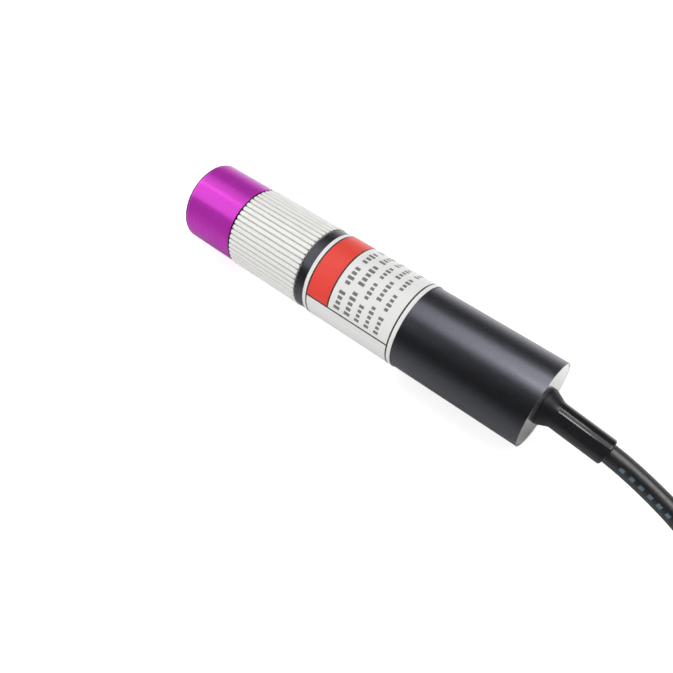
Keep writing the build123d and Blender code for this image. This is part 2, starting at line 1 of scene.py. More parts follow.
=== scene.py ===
import bmesh
import bpy
import math
import numpy as np
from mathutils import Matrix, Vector


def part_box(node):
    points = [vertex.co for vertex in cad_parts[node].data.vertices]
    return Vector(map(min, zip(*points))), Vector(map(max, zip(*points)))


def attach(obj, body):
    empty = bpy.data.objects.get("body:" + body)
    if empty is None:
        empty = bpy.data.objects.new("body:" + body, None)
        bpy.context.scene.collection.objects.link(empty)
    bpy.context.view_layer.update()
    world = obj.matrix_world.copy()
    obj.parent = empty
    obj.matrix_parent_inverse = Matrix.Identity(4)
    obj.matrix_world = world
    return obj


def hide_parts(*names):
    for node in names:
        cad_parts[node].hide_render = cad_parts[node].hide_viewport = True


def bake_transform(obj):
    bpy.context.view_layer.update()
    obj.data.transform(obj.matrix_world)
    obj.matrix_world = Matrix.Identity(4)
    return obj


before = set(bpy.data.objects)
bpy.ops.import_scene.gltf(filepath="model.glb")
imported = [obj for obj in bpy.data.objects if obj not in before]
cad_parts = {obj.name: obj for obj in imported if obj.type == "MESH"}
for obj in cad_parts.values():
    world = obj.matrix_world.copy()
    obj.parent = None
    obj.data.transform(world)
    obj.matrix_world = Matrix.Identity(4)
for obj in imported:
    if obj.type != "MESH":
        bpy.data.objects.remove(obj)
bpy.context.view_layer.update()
mm = 0.001

# the axis of the turned body and the faces that the pieces are set out from
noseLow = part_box("nose_cap")[0]
barrelLow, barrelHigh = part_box("barrel")
ringLow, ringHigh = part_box("focus_ring")
labelLow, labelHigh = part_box("label")
springLow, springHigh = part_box("focus_spring")
plugLow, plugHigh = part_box("plug_body")
axisY = (barrelLow.y + barrelHigh.y) / 2
axisZ = (barrelLow.z + barrelHigh.z) / 2
frontX, rearX = noseLow.x, barrelHigh.x
barrelRadius = (barrelHigh.y - barrelLow.y) / 2
ringRadius = (ringHigh.z - ringLow.z) / 2
labelRadius = (labelHigh.z - labelLow.z) / 2
plugCentre = ((plugLow.y + plugHigh.y) / 2, (plugLow.z + plugHigh.z) / 2)


def chosen(settings, *names):
    return [settings[name] for name in names]


# camera

cameraSettings = {
    "azimuth": 40.26,      # degrees, from straight in front
    "elevation": 51.49,
    "lens": 38.72,
    "sensor": 36.0,
    "clip": (0.001, 10.0),   # m
    "rearRight": 33.51,    # mm, where the rear face's centre lies in the view
    "rearDown": 11.13,
    "rearAway": 117.20,
}


def placeCamera(settings):
    azimuth, elevation = math.radians(settings["azimuth"]), math.radians(settings["elevation"])
    level = math.cos(elevation)
    right = Vector((math.cos(azimuth), math.sin(azimuth), 0))
    look = Vector((-math.sin(azimuth) * level, math.cos(azimuth) * level, -math.sin(elevation)))
    down = look.cross(right)
    rearCentre = Vector((rearX, axisY, axisZ))
    offset = right * settings["rearRight"] + down * settings["rearDown"] + look * settings["rearAway"]
    data = bpy.data.cameras.new("camera")
    data.lens = settings["lens"]
    data.sensor_width = settings["sensor"]
    data.clip_start, data.clip_end = settings["clip"]
    camera = bpy.data.objects.new("camera", data)
    camera.location = rearCentre - offset * mm
    camera.rotation_mode = "QUATERNION"
    camera.rotation_quaternion = look.to_track_quat("-Z", "Y")
    bpy.context.collection.objects.link(camera)
    bpy.context.scene.camera = camera


placeCamera(cameraSettings)
bpy.context.scene.view_settings.view_transform = "Standard"
print("camera placed")


# shader maths: a wire is one node output, and arithmetic on it adds Math nodes

class Wire:
    def __init__(self, tree, socket=None):
        self.tree = tree
        self.socket = socket

    def node(self, kind, settings=None, inputs=None, output=0):
        made = self.tree.nodes.new("ShaderNode" + kind)
        for name, value in (settings or {}).items():
            if name == "stops":
                while len(made.color_ramp.elements) < len(value):
                    made.color_ramp.elements.new(0.5)
                for element, (place, shade) in zip(made.color_ramp.elements, value):
                    element.position = place
                    element.color = (shade, shade, shade, 1)
            else:
                setattr(made, name, value)
        for name, value in (inputs or {}).items():
            if isinstance(value, Wire):
                self.tree.links.new(value.socket, made.inputs[name])
            else:
                made.inputs[name].default_value = value
        return Wire(self.tree, made.outputs[output])

    def maths(self, operation, other=None, swap=False):
        pair = [self] if other is None else [other, self] if swap else [self, other]
        return self.node("Math", {"operation": operation}, dict(enumerate(pair)))

    def __add__(self, other):
        return self.maths("ADD", other)

    def __sub__(self, other):
        return self.maths("SUBTRACT", other)

    def __rsub__(self, other):
        return self.maths("SUBTRACT", other, swap=True)

    def __mul__(self, other):
        return self.maths("MULTIPLY", other)

    def __truediv__(self, other):
        return self.maths("DIVIDE", other)

    def __mod__(self, other):
        return self.maths("FLOORED_MODULO", other)

    def __pow__(self, other):
        return self.maths("POWER", other)

    def __lt__(self, other):
        return self.maths("LESS_THAN", other)

    def __gt__(self, other):
        return self.maths("GREATER_THAN", other)

    def __abs__(self):
        return self.maths("ABSOLUTE")

    __radd__ = __add__
    __rmul__ = __mul__

    def split(self):
        made = self.node("SeparateXYZ", {}, {0: self}).socket.node
        return [Wire(self.tree, part) for part in made.outputs]

    def ramp(self, start, end):
        # 0 up to start, 1 from end on, and straight between them
        return self.node("MapRange", {}, {"Value": self, "From Min": start, "From Max": end})

    def mixed(self, low, high):
        # low where the wire is 0 and high where it is 1, each a wire or a colour's three shares
        low, high = [(*shade, 1) if isinstance(shade, tuple) else shade for shade in (low, high)]
        return self.node("Mix", {"data_type": "RGBA"}, {6: low, 7: high, 0: self}, output=2)

    def feeds(self, shader, name):
        self.tree.links.new(self.socket, shader.inputs[name])


def newFinish(name, fixed):
    material = bpy.data.materials.new(name)
    material.use_nodes = True
    shader = material.node_tree.nodes["Principled BSDF"]
    for label, value in fixed.items():
        shader.inputs[label].default_value = value
    return material, Wire(material.node_tree), shader


def placeInside(wire):
    # object coordinates in millimetres, about the turned body's axis
    point = wire.node("TexCoord", output=3)
    centred = wire.node("VectorMath", {"operation": "SUBTRACT"}, {0: point, 1: (0, axisY, axisZ)})
    return wire.node("VectorMath", {"operation": "SCALE"}, {0: centred, "Scale": 1 / mm})


def fromAxis(point):
    # how far along the axis a point lies, and how far from the axis
    x, y, z = point.split()
    return x, (y * y + z * z) ** 0.5


def noiseOn(wire, point, scale, detail=2.0, stretch=None):
    if stretch:
        point = wire.node("Mapping", {}, {"Vector": point, "Scale": stretch})
    return wire.node("TexNoise", {}, {"Vector": point, "Scale": scale, "Detail": detail})


def marksOn(wire, measure, scale, detail=3.0):
    # tool marks: noise along one measure
    inputs = {"W": measure, "Scale": scale, "Detail": detail}
    return wire.node("TexNoise", {"noise_dimensions": "1D"}, inputs)


def bumped(wire, height, distance, strength=0.5):
    return wire.node("Bump", {}, {"Height": height, "Strength": strength, "Distance": distance * mm})


def shared(first, second, share):
    return first * share + second * (1 - share)


def faded(colour, share):
    return tuple(part * share for part in colour)


def varied(level, noise, spread):
    return level + (noise - 0.5) * spread


def band(value, middle, half):
    return abs(value - middle) < half


def either(*masks):
    joined = masks[0]
    for mask in masks[1:]:
        joined = joined.maths("MAXIMUM", mask)
    return joined


# light: softboxes over the body and beyond its nose, strips that give only highlights, fills that give none,
# and a room that is dark in front

lightSettings = {
    # run along the body, run across it, and radiance
    "softboxes": {
        "over": ((-0.085, -0.02), (-0.085, 0.12), 1.8),
        "overRear": ((-0.02, 0.32), (-0.03, 0.13), 1.8),
        "nose": ((-0.55, -0.165), (-0.33, -0.01), 1.55),
        "noseEdge": ((-0.55, -0.165), (-0.01, 0.07), 1.15),
        "noseFade": ((-0.55, -0.165), (0.07, 0.13), 0.65),
    },
    "strips": {
        "noseStrip": ((-0.55, -0.165), (-0.034, -0.012), 1.95),
        "sleeveStrip": ((0.01, 0.09), (0.10, 0.13), 7.0),
        "sleeveStripLow": ((0.01, 0.09), (-0.045, -0.015), 12.0),
        "cordStrip": ((0.12, 0.30), (-0.01, 0.17), 3.4),
    },
    "height": 0.26,
    "stripDrop": 0.002,
    # place, width and radiance
    "fills": {"fill": ((0.02, -0.55, 0.16), 0.5, 3.3), "backFill": ((0.0, 0.50, 0.30), 0.4, 2.2)},
}


def areaLamp(name, place, width, length, radiance):
    data = bpy.data.lights.new(name, "AREA")
    data.shape = "RECTANGLE"
    data.size, data.size_y = width, length
    data.energy = radiance * math.pi * width * length
    lamp = bpy.data.objects.new(name, data)
    lamp.location = place
    lamp.visible_camera = False
    bpy.context.collection.objects.link(lamp)
    return lamp


def overheadLamp(name, height, runX, runY, radiance):
    (lowX, highX), (lowY, highY) = runX, runY
    place = ((lowX + highX) / 2, (lowY + highY) / 2, height)
    return areaLamp(name, place, highX - lowX, highY - lowY, radiance)


def buildLight(settings):
    for name, box in settings["softboxes"].items():
        overheadLamp(name, settings["height"], *box)
    for name, box in settings["strips"].items():
        strip = overheadLamp(name, settings["height"] - settings["stripDrop"], *box)
        strip.visible_diffuse = False
    for name, (place, width, radiance) in settings["fills"].items():
        fill = areaLamp(name, place, width, width, radiance)
        fill.rotation_euler = (-Vector(place)).to_track_quat("-Z", "Y").to_euler()
        fill.visible_glossy = False


roomSettings = {
    "front": 0.065,
    "room": 0.10,
    "back": 1.0,
    "frontTop": 0.6,       # sine of the height up to which the front keeps its shade
    "backTop": 0.36,       # and the one from which the back is as dark as the room
    "backDip": (0.12, 0.8),   # where the back starts to fade, and its share of light there
    "sideBlend": 0.35,
}


def buildRoom(settings):
    # the back is pale near the floor, the front is dark, and the camera sees white
    world = bpy.data.worlds.new("room")
    world.use_nodes = True
    bpy.context.scene.world = world
    wire = Wire(world.node_tree)
    side, height = wire.node("TexCoord", output=0).split()[1:]
    front, room, back, blend = chosen(settings, "front", "room", "back", "sideBlend")
    dipHeight, dipShare = settings["backDip"]
    backStops = [(0.0, back), (dipHeight, back * dipShare), (settings["backTop"], room), (1.0, room)]
    frontStops = [(0.0, front), (settings["frontTop"], front), (1.0, room)]
    behind = wire.node("ValToRGB", {"stops": backStops}, {0: height})
    ahead = wire.node("ValToRGB", {"stops": frontStops}, {0: height})
    mirrored = side.ramp(-blend, blend).mixed(ahead, behind)
    seen = wire.node("LightPath", output="Is Camera Ray")
    seen.mixed(mirrored, (1, 1, 1)).feeds(world.node_tree.nodes["Background"], "Color")


floorSettings = {
    "half": 1.5,           # m, as are the runs below
    "drop": 0.00005,
    "paperNear": 0.70,
    "paperFront": 0.22,
    "frontRun": (-0.010, -0.055),
    "glowNear": 0.72,
    "glowFar": 0.98,
    "farRun": (0.03, 0.12),
    "glowFront": 0.25,
    "glowBehind": 0.75,
    "behindRun": (0.002, 0.02),
}


def buildFloor(settings):
    # the paper is darker in front, where the body would mirror it, and its glow keeps it white in the view
    half = settings["half"]
    corners = [(-half, -half, 0), (half, -half, 0), (half, half, 0), (-half, half, 0)]
    mesh = bpy.data.meshes.new("floor")
    mesh.from_pydata(corners, [], [(0, 1, 2, 3)])
    floor = bpy.data.objects.new("floor", mesh)
    floor.location.z = -settings["drop"]
    bpy.context.collection.objects.link(floor)
    material = bpy.data.materials.new("floorPaper")
    material.use_nodes = True
    tree = material.node_tree
    tree.nodes.remove(tree.nodes["Principled BSDF"])
    wire = Wire(tree)
    place = wire.node("TexCoord", output=3)
    y = place.split()[1]
    ahead, behind = y.ramp(*settings["frontRun"]), y.ramp(*settings["behindRun"])
    shade = ahead.mixed((settings["paperNear"],) * 3, (settings["paperFront"],) * 3)
    paper = wire.node("BsdfDiffuse", {}, {"Color": shade})
    far = wire.node("VectorMath", {"operation": "LENGTH"}, {0: place}, output=1).ramp(*settings["farRun"])
    rays = ("Is Camera Ray", "Is Glossy Ray", "Is Transmission Ray")
    direct, glossy, through = [wire.node("LightPath", output=name) for name in rays]
    near = settings["glowNear"]
    viewGlow = near + far * (settings["glowFar"] - near) + ahead * settings["glowFront"]
    strength = direct * viewGlow + either(glossy, through) * behind * settings["glowBehind"]
    glow = wire.node("Emission", {}, {"Strength": strength})
    both = wire.node("AddShader", {}, {0: paper, 1: glow})
    both.feeds(tree.nodes["Material Output"], "Surface")
    mesh.materials.append(material)


buildLight(lightSettings)
buildRoom(roomSettings)
buildFloor(floorSettings)
print("light and floor made")


# surfaces: a grid of points becomes a closed mesh whose faces point outwards

def roundedOutline(corners, radii=None, steps=5, guard=0.04):
    # every corner of a closed outline becomes an arc of its own radius, with a point just past each end;
    # where no radii are given, each corner's third number is its radius
    corners = np.array(corners, float)
    radii = corners[:, 2] if radii is None else np.broadcast_to(np.array(radii, float), len(corners))
    corners = corners[:, :2]
    share = np.linspace(0, 1, steps)[:, None]
    rows = []
    for before, corner, after, radius in zip(np.roll(corners, 1, 0), corners, np.roll(corners, -1, 0), radii):
        back, ahead = before - corner, after - corner
        back, ahead = back / np.linalg.norm(back), ahead / np.linalg.norm(ahead)
        half = math.acos(np.clip(back @ ahead, -1, 1)) / 2
        cut = radius / math.tan(half)
        centre = corner + (back + ahead) / np.linalg.norm(back + ahead) * radius / math.sin(half)
        first, last = corner + back * cut - centre, corner + ahead * cut - centre
        turn = math.pi - 2 * half
        arc = centre + (np.sin((1 - share) * turn) * first + np.sin(share * turn) * last) / math.sin(turn)
        rows += [[corner + back * (cut + guard)], arc, [corner + ahead * (cut + guard)]]
    return np.concatenate(rows)


def turnedPoints(outline, columns=96, centre=None, angle=None, crest=None, cut=0):
    # x and radius along the outline, carried round the axis; a crest caps the radius and a cut lowers it
    centreY, centreZ = centre or (axisY, axisZ)
    if angle is None:
        angle = np.linspace(0, 2 * math.pi, columns, endpoint=False)
    angle = angle[None, :]
    x, radius = outline[:, :1] + 0 * angle, outline[:, 1:] + 0 * angle - cut
    if crest is not None:
        radius = np.minimum(radius, crest)
    return np.stack([x, centreY + radius * np.cos(angle), centreZ + radius * np.sin(angle)], -1)


def carriedPoints(radius, columns, centre, side, up):
    # each point of a path gets a circle of its own radius, spread by the side and up directions there
    angle = np.linspace(0, 2 * math.pi, columns, endpoint=False)[None, :, None]
    outwards = np.cos(angle) * side[:, None] + np.sin(angle) * up[:, None]
    return centre[:, None] + radius[:, None, None] * outwards


def rowPairs(index, wrapRows):
    # each row and the next one
    if wrapRows:
        return index, np.roll(index, -1, 0)
    return index[:-1], index[1:]


def gridPiece(name, points, wrapRows=True, chart=None):
    # quads between neighbouring rows and columns; open rows are closed by one face at each end
    rows, columns = points.shape[:2]
    index = np.arange(rows * columns).reshape(rows, columns)
    lower, upper = rowPairs(index, wrapRows)
    quads = np.stack([lower, np.roll(lower, -1, 1), np.roll(upper, -1, 1), upper], -1).reshape(-1, 4)
    flat = points.reshape(-1, 3)
    middle = flat - flat.mean(0)
    a, b, c, d = [middle[quads[:, i]] for i in range(4)]
    inwards = (np.cross(b, c) * a + np.cross(c, d) * a).sum() < 0
    faces = (quads[:, ::-1] if inwards else quads).tolist()
    if not wrapRows:
        ends = [index[0][::-1], index[-1]]
        faces += [(end[::-1] if inwards else end).tolist() for end in ends]
    mesh = bpy.data.meshes.new(name)
    mesh.from_pydata(flat.tolist(), [], faces)
    if chart is not None:
        # the chart has one more column than the grid, so that its last one meets the first
        chartIndex = np.arange(rows * (columns + 1)).reshape(rows, columns + 1)
        lower, upper = rowPairs(chartIndex, wrapRows)
        corners = np.stack([lower[:, :-1], lower[:, 1:], upper[:, 1:], upper[:, :-1]], -1).reshape(-1, 4)
        corners = (corners[:, ::-1] if inwards else corners).ravel()
        places = chart.reshape(-1, 2)[corners]
        spare = np.zeros((len(mesh.loops) - len(places), 2))
        layer = mesh.uv_layers.new(name="chart")
        layer.data.foreach_set("uv", np.concatenate([places, spare]).ravel())
    mesh.shade_smooth()
    mesh.validate()
    piece = bpy.data.objects.new(name, mesh)
    bpy.context.collection.objects.link(piece)
    return piece


def mergePoints(piece, distance):
    # points nearer to each other than the distance become one
    points = bmesh.new()
    points.from_mesh(piece.data)
    bmesh.ops.remove_doubles(points, verts=points.verts, dist=distance)
    points.to_mesh(piece.data)
    points.free()


def dress(piece, slotName, body, *nodes):
    piece.data.materials.append(finishes[slotName])
    if body:
        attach(piece, body)
    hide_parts(*nodes)


# supply cord: given points to the hank, the hank's turns, and given points to the plug

cordSettings = {
    "diameter": 3.5,
    "length": 0.52,        # m
    "lead": [(31.9, 0, 8.15), (38.2, 0, 8.15), (50.3, -0.4, 7.2), (57.8, -0.3, 4.65), (65.2, -1.2, 2.35),
             (72.5, -4.6, 1.85), (79.6, -7.2, 2.05), (86.5, -7.0, 2.15)],
    "tail": [(106.0, -7.0, 5.65), (112.5, -7.0, 5.65), (119.0, -5.2, 6.0), (126.0, -3.6, 4.75),
             (131.5, -3.6, 4.75)],
    "foldX": (80.0, 112.0),
    "middleY": 7.0,
    "outerFold": 14.0,
    "innerFold": 10.5,
    "lowLayer": 2.15,
    "highLayer": 5.65,
    "foldPoints": 8,
    "straightInset": 8.0,  # mm from a fold's centre to the point on the straight side
    # angles round a fold over which a turn moves out, moves in and climbs
    "moveOut": (math.radians(80), math.pi),
    "moveIn": (0, math.pi / 2),
    "climb": (-1.1, math.radians(60)),
    "farClimb": 0.12,      # share of the climb at the end of the far side
    "splineSteps": 10,
    "columns": 20,
}


def eased(value, start, end):
    share = np.clip((value - start) / (end - start), 0, 1)
    return share * share * (3 - 2 * share)


def roundFold(centreX, middleY, radius, angle, z):
    return list(zip(centreX + radius * np.cos(angle), middleY + radius * np.sin(angle), 0 * angle + z))


def hankTurns(settings):
    # a turn goes along the near side, round the right fold, back along the far side and round the left fold
    leftX, rightX = settings["foldX"]
    middleY, inset, count = chosen(settings, "middleY", "straightInset", "foldPoints")
    outer, inner, low, high = chosen(settings, "outerFold", "innerFold", "lowLayer", "highLayer")
    step = math.pi / count
    fold = (np.arange(count) + 0.5) * step
    stretch = 1 / math.cos(step / 2)   # the spline runs inside its points
    near = [leftX + inset, rightX - inset]
    points = []
    for turn in range(3):
        startRadius = outer if turn == 0 else inner
        farRadius = outer if turn != 1 else inner
        endRadius = inner if turn == 0 else farRadius
        startZ = high if turn == 2 else low
        endZ = high if turn > 0 else low
        # the last turn moves out to the top of the pile on the right fold
        rightRadius = startRadius + (farRadius - startRadius) * eased(fold, *settings["moveOut"])
        # the first turn moves in on the left fold, and the second climbs there
        leftRadius = farRadius + (endRadius - farRadius) * eased(fold, *settings["moveIn"])
        leftZ = startZ + (endZ - startZ) * eased(fold, *settings["climb"])
        farZ = [startZ, startZ + (endZ - startZ) * settings["farClimb"]]
        points += [(x, middleY - startRadius, startZ) for x in (near if turn else near[1:])]
        points += roundFold(rightX, middleY, rightRadius * stretch, fold - math.pi / 2, startZ)
        points += [(x, middleY + farRadius, z) for x, z in zip(near[::-1], farZ)]
        points += roundFold(leftX, middleY, leftRadius * stretch, fold + math.pi / 2, leftZ)
    return points + [(near[0], middleY - outer, high)]


def splinePoints(route, steps):
    curve = bpy.data.curves.new("route", "CURVE")
    curve.dimensions = "3D"
    curve.resolution_u = steps
    spline = curve.splines.new("NURBS")
    spline.points.add(len(route) - 1)
    spline.points.foreach_set("co", np.c_[np.array(route) * mm, np.ones(len(route))].ravel())
    spline.order_u = 3
    spline.use_endpoint_u = True
    holder = bpy.data.objects.new("route", curve)
    bpy.context.collection.objects.link(holder)
    line = bpy.data.meshes.new_from_object(holder)
    points = np.empty(len(line.vertices) * 3)
    line.vertices.foreach_get("co", points)
    bpy.data.objects.remove(holder)
    return points.reshape(-1, 3)


def unitRows(rows):
    return rows / np.linalg.norm(rows, axis=1, keepdims=True)


def pathFrame(points):
    # level sideways and upwards at each point of a path
    along = unitRows(np.gradient(points, axis=0))
    side = unitRows(np.cross(along, (0, 0, 1)))
    return side, np.cross(side, along)


def runLength(points):
    steps = np.linalg.norm(np.diff(points, axis=0), axis=1)
    return np.concatenate([[0], np.cumsum(steps)])


route = cordSettings["lead"] + hankTurns(cordSettings) + cordSettings["tail"]
cordLine = splinePoints(route, cordSettings["splineSteps"])
cordRun = runLength(cordLine)
cordSide, cordUp = pathFrame(cordLine)


def buildCord(settings):
    # a circle carried along the spline; the chart holds the share of a turn and the run in metres
    radius = np.full(len(cordLine), settings["diameter"] * mm / 2)
    points = carriedPoints(radius, settings["columns"], cordLine, cordSide, cordUp)
    turn = np.linspace(0, 1, settings["columns"] + 1)[None, :]
    chart = np.stack([turn + 0 * cordRun[:, None], cordRun[:, None] + 0 * turn], -1)
    return gridPiece("cord", points, wrapRows=False, chart=chart)


cordPiece = buildCord(cordSettings)
print("cord made, length", round(cordRun[-1], 4))


# turned body, from the nose to the rear face

noseSettings = {
    "columns": 160,
    "aperture": 3.0,
    "flare": 1.2,
    "wall": 2.0,
    "pocket": 4.53,
    "spigot": 6.75,
    "spigotEnd": 16.5,
    "groove": 7.3,
    "back": 12.0,
    "backChamfer": 0.12,
    "grooveEnd": 12.3,
    "chamfer": 0.14,
    "edgeRound": 0.04,
}


def buildNose(settings):
    # the cap's section, turned about the axis
    radius = barrelRadius / mm
    aperture, flare, wall, pocket = chosen(settings, "aperture", "flare", "wall", "pocket")
    spigot, spigotEnd, groove, grooveEnd = chosen(settings, "spigot", "spigotEnd", "groove", "grooveEnd")
    back, backChamfer, chamfer = chosen(settings, "back", "backChamfer", "chamfer")
    corners = [
        (0, aperture + flare), (flare, aperture), (wall, aperture), (wall, pocket), (spigotEnd, pocket),
        (spigotEnd, spigot), (grooveEnd, spigot), (grooveEnd, groove), (back, groove),
        (back, radius - backChamfer), (back - backChamfer, radius), (chamfer, radius), (0, radius - chamfer),
    ]
    outline = roundedOutline(corners, settings["edgeRound"]) * mm + (frontX, 0)
    return gridPiece("noseCap", turnedPoints(outline, settings["columns"]))


ringSettings = {
    "teeth": 50,
    "grooveWidth": 0.46,
    "grooveFloor": 0.12,
    "grooveDepth": 0.26,
    # the columns of half a groove, as shares of the floor's half width, of the groove's half width
    # and of the pitch, and the share of the depth at each
    "floorPlaces": (0.7, 1.35),
    "flankPlaces": (0.93, 1.06, 1.25),
    "crestPlace": 0.37,
    "placeDepths": [1.0, 0.93, 0.06, 0.0, 0.0, 0.0],
    "socket": 6.78,
    "webFront": 4.5,
    "webBack": 6.5,
    "webBore": 4.78,
    "nut": 6.8,
    "chamfer": 0.06,
    "edgeRound": 0.02,
    "mergeGap": 1e-7,      # m
}


def buildRing(settings):
    # the ring's section, turned; its outer radius drops by a flat-floored V at each groove
    radius, length = ringRadius / mm, (ringHigh.x - ringLow.x) / mm
    socket, nut, chamfer, teeth = chosen(settings, "socket", "nut", "chamfer", "teeth")
    webFront, webBack, webBore = chosen(settings, "webFront", "webBack", "webBore")
    corners = [
        (0, socket), (webFront, socket), (webFront, webBore), (webBack, webBore), (webBack, nut),
        (length, nut), (length, radius - chamfer), (length - chamfer, radius), (chamfer, radius),
        (0, radius - chamfer),
    ]
    outline = roundedOutline(corners, settings["edgeRound"], steps=3) * mm + (ringLow.x, 0)
    halfTop, halfFloor = settings["grooveWidth"] / 2, settings["grooveFloor"] / 2
    pitch = 2 * math.pi * radius / teeth
    places = [halfFloor * share for share in settings["floorPlaces"]]
    places += [halfTop * share for share in settings["flankPlaces"]]
    places += [pitch * settings["crestPlace"]]
    depths = settings["placeDepths"]
    across = np.array([-place for place in places[::-1]] + places + [pitch / 2])
    depth = np.array(depths[::-1] + depths + [0.0]) * settings["grooveDepth"] * mm
    starts = np.arange(teeth)[:, None] * 2 * math.pi / teeth
    angle = (starts + across / radius).ravel()
    crest = ringRadius - np.tile(depth, teeth)
    piece = gridPiece("focusRing", turnedPoints(outline, angle=angle, crest=crest))
    # a groove runs out through the end faces, and cuts several rows to one point
    mergePoints(piece, settings["mergeGap"])
    return piece


barrelSettings = {
    "columns": 128,
    "shoulderGap": 0.3,    # mm behind the ring
    "neckFront": -9.0,     # mm from the shoulder
    "neck": 6.75,
    "neckChamfer": 0.4,
    "bore": 5.4,
    "step": 5.9,
    "wideBore": 6.7,
    "capDepth": 2.0,
    "capBore": 7.72,
    "edgeRound": 0.05,
    "innerRound": 0.04,
    "threadPitch": 0.5,
    "threadDepth": 0.27,
    "threadRows": 8,       # rows in one pitch
    "threadMargins": (0.15, 0.1),   # mm left free at the shoulder and at the chamfer
    "threadFade": (0.1, 0.5),   # mm from the shoulder over which the thread gets its depth
}


def buildBarrel(settings):
    # the barrel's section, turned; on the neck the radius drops with a helix, one pitch a turn
    radius, shoulderX = barrelRadius / mm, ringHigh.x / mm + settings["shoulderGap"]
    length = rearX / mm - shoulderX
    seat = length - settings["capDepth"]
    front, neck, chamfer, bore = chosen(settings, "neckFront", "neck", "neckChamfer", "bore")
    step, wideBore, capBore = chosen(settings, "step", "wideBore", "capBore")
    edge, fine, pitch = chosen(settings, "edgeRound", "innerRound", "threadPitch")
    corners = [
        (front, bore, fine), (step, bore, fine), (step, wideBore, fine), (seat, wideBore, fine),
        (seat, capBore, fine), (length, capBore, fine), (length, radius, edge), (0, radius, edge),
        (0, neck, fine),
    ]
    neckEnd = [(front + chamfer, neck, fine), (front, neck - chamfer, fine)]
    outline = roundedOutline(corners + neckEnd)
    split = len(corners) * (len(outline) // len(corners + neckEnd))
    shoulderMargin, chamferMargin = settings["threadMargins"]
    neckX = np.arange(-shoulderMargin, front + chamfer + chamferMargin, -pitch / settings["threadRows"])
    outline = np.concatenate([outline[:split], np.c_[neckX, np.full(len(neckX), neck)], outline[split:]])
    cut = np.zeros(len(outline))
    cut[split:split + len(neckX)] = settings["threadDepth"] * eased(-neckX, *settings["threadFade"])
    outline, cut = outline * mm + (shoulderX * mm, 0), cut * mm
    angle = np.linspace(0, 2 * math.pi, settings["columns"], endpoint=False)
    share = (outline[:, :1] / mm / pitch - angle[None, :] / (2 * math.pi)) % 1
    return gridPiece("barrel", turnedPoints(outline, angle=angle, cut=cut[:, None] * abs(2 * share - 1)))


labelSettings = {
    "columns": 160,
    "glue": 0.01,
    "edgeRound": 0.04,
    "ruleHeight": 13.0,    # degrees above the level of the axis, on the near side
    "turnLength": 51.2,    # mm of film in one turn, and the chart's unit
}


def buildLabel(settings):
    # a thin sleeve; the chart runs up the near side from the level rule, and back from the front edge
    length = (labelHigh.x - labelLow.x) / mm
    inner, outer = barrelRadius / mm + settings["glue"], labelRadius / mm
    corners = [(0, inner), (length, inner), (length, outer), (0, outer)]
    outline = roundedOutline(corners, settings["edgeRound"], steps=3) * mm + (labelLow.x, 0)
    turn = np.linspace(0, 1, settings["columns"] + 1)
    angle = math.pi - math.radians(settings["ruleHeight"]) - 2 * math.pi * turn[:-1]
    along = (outline[:, :1] - labelLow.x) / mm / settings["turnLength"]
    chart = np.stack([turn[None, :] + 0 * along, along + 0 * turn[None, :]], -1)
    return gridPiece("label", turnedPoints(outline, angle=angle), chart=chart)


capSettings = {
    "columns": 128,
    "depth": 4.5,
    "flange": 2.0,
    "hole": 2.58,
    "edge": 7.7,
    "spigot": 6.68,
    "chamfer": 0.12,
    "edgeRound": 0.04,
}


def buildCap(settings):
    # the cap's section, turned
    depth, seat, hole = chosen(settings, "depth", "flange", "hole")
    edge, spigot, chamfer = chosen(settings, "edge", "spigot", "chamfer")
    corners = [(-depth, hole), (0, hole), (0, edge - chamfer), (-chamfer, edge), (-seat, edge),
               (-seat, spigot), (-depth, spigot)]
    outline = roundedOutline(corners, settings["edgeRound"], steps=3) * mm + (rearX, 0)
    return gridPiece("rearCap", turnedPoints(outline, settings["columns"]))


springSettings = {
    "wire": 0.6,
    "turns": 4.25,
    "startTurn": 0.25,     # the wire starts at the top
    "rowsPerTurn": 32,
    "columns": 12,
}


def buildSpring(settings):
    # a circle carried along a helix, from the washer to the diode's mount
    half, turns = settings["wire"] * mm / 2, settings["turns"]
    share = np.linspace(0, 1, int(turns * settings["rowsPerTurn"]) + 1)
    angle = 2 * math.pi * (settings["startTurn"] + turns * share)
    radius = (springHigh.y - springLow.y) / 2 - half
    x = springLow.x + half + share * (springHigh.x - springLow.x - 2 * half)
    outwards = np.stack([0 * angle, np.cos(angle), np.sin(angle)], -1)
    line = np.stack([x, 0 * x + axisY, 0 * x + axisZ], -1) + radius * outwards
    across = unitRows(np.cross(outwards, np.gradient(line, axis=0)))
    points = carriedPoints(0 * x + half, settings["columns"], line, outwards, across)
    return gridPiece("focusSpring", points, wrapRows=False)


# sleeve on the cord, ties and plug

reliefSettings = {
    "columns": 64,
    "bore": 1.77,
    "lipBack": -5.6,
    "lipFront": -4.55,
    "lip": 3.3,
    "neck": 2.45,
    "foot": 3.35,
    "footThick": 0.5,
    "coneEnd": 2.5,
    "root": 2.43,
    "tip": 2.40,
    "length": 12.1,
    "rounds": {"bore": 0.05, "mouth": 0.08, "tip": 0.34, "root": 1.2, "foot": 0.5, "face": 0.08, "neck": 0.05,
               "lip": 0.1},
    "squareRun": 4.0,      # mm from the rear face over which the sleeve goes over to the cord's own path
    "leadPoints": 60,      # points of the cord's line that run straight back
}


def alongCord(run, values):
    return np.stack([np.interp(run, cordRun, values[:, i]) for i in range(3)], -1)


